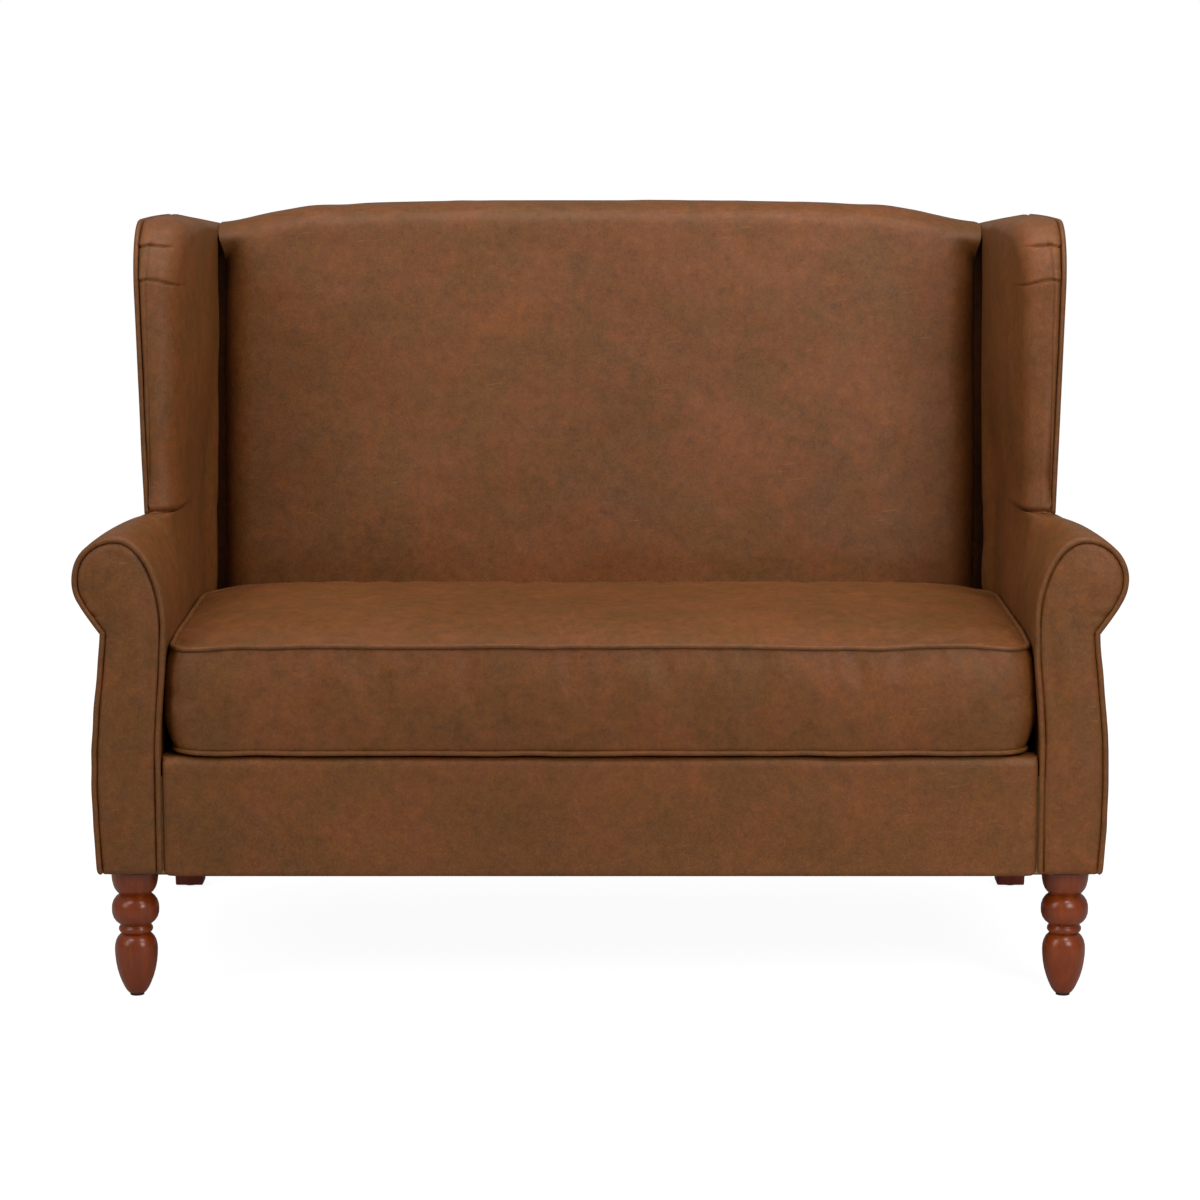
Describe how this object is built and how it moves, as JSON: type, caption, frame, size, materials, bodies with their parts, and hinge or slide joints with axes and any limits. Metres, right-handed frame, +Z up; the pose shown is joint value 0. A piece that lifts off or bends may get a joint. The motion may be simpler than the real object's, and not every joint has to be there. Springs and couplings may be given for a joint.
{
  "type": "high back settee",
  "caption": "High back settee with winged sides, flared scroll arms, a loose box seat cushion, turned front legs and splayed square rear legs.",
  "frame": {"origin": "on the floor under the middle of the settee's bounding box", "axes": "+X to the settee's right-hand arm as seen from the front, +Y to the rear, +Z up"},
  "size_m": [1.4492, 0.76, 1.083],
  "materials": {
    "leather": "distressed brown faux leather, satin",
    "mahogany": "gloss lacquer over a mahogany stain",
    "dark_wood": "satin lacquer, dark red-brown",
    "beech": "bare planed hardwood",
    "foam": "open-cell foam",
    "felt": "matt felted pad",
    "webbing": "woven elastic webbing",
    "dust_cloth": "thin matt non-woven cloth",
    "zip_tape": "nylon coil on woven tape",
    "zip_metal": "plated metal",
    "steel": "bright drawn steel",
    "nylon": "hard nylon"
  },
  "bodies": {
    "settee": {"inside_back": "leather", "outside_back": "leather", "apron": "leather", "front_rail": "beech", "rear_rail": "beech", "centre_rail": "beech", "lower_back_rail": "beech", "crest_rail": "beech", "deck_pad": "felt", "dust_cover": "dust_cloth", "back_webbing_1": "webbing", "back_webbing_2": "webbing", "right_side_rail": "beech", "right_front_corner_block": "beech", "right_rear_corner_block": "beech", "right_back_post": "beech", "right_arm_front_board": "beech", "right_arm_rail": "beech", "right_wing_board": "beech", "right_front_leg": "mahogany", "right_rear_leg": "dark_wood", "right_leg_bolt": "steel", "right_seat_spring_1": "steel", "right_seat_spring_2": "steel", "right_seat_spring_3": "steel", "right_seat_spring_4": "steel", "right_front_glide": "nylon", "right_rear_glide": "nylon", "right_inside_arm": "leather", "right_arm_facing": "leather", "right_facing_welt": "leather", "right_outside_arm": "leather", "right_inside_wing": "leather", "right_outside_wing": "leather", "left_side_rail": "beech", "left_front_corner_block": "beech", "left_rear_corner_block": "beech", "left_back_post": "beech", "left_arm_front_board": "beech", "left_arm_rail": "beech", "left_wing_board": "beech", "left_front_leg": "mahogany", "left_rear_leg": "dark_wood", "left_leg_bolt": "steel", "left_seat_spring_1": "steel", "left_seat_spring_2": "steel", "left_seat_spring_3": "steel", "left_seat_spring_4": "steel", "left_front_glide": "nylon", "left_rear_glide": "nylon", "left_inside_arm": "leather", "left_arm_facing": "leather", "left_facing_welt": "leather", "left_outside_arm": "leather", "left_inside_wing": "leather", "left_outside_wing": "leather"},
    "seat_cushion": {"cushion_cover": "leather", "cushion_foam": "foam", "cushion_zip": "zip_tape"},
    "zip_slider": {"zip_slider": "zip_metal"}
  },
  "joints": [
    {"name": "cushion_lift", "type": "slide", "parent": "settee", "child": "seat_cushion", "axis": [0, 0, 1], "range_m": [0, 0.76]},
    {"name": "zip_slide", "type": "slide", "parent": "seat_cushion", "child": "zip_slider", "axis": [1, 0, 0], "range_m": [0, 0.965]}
  ]
}
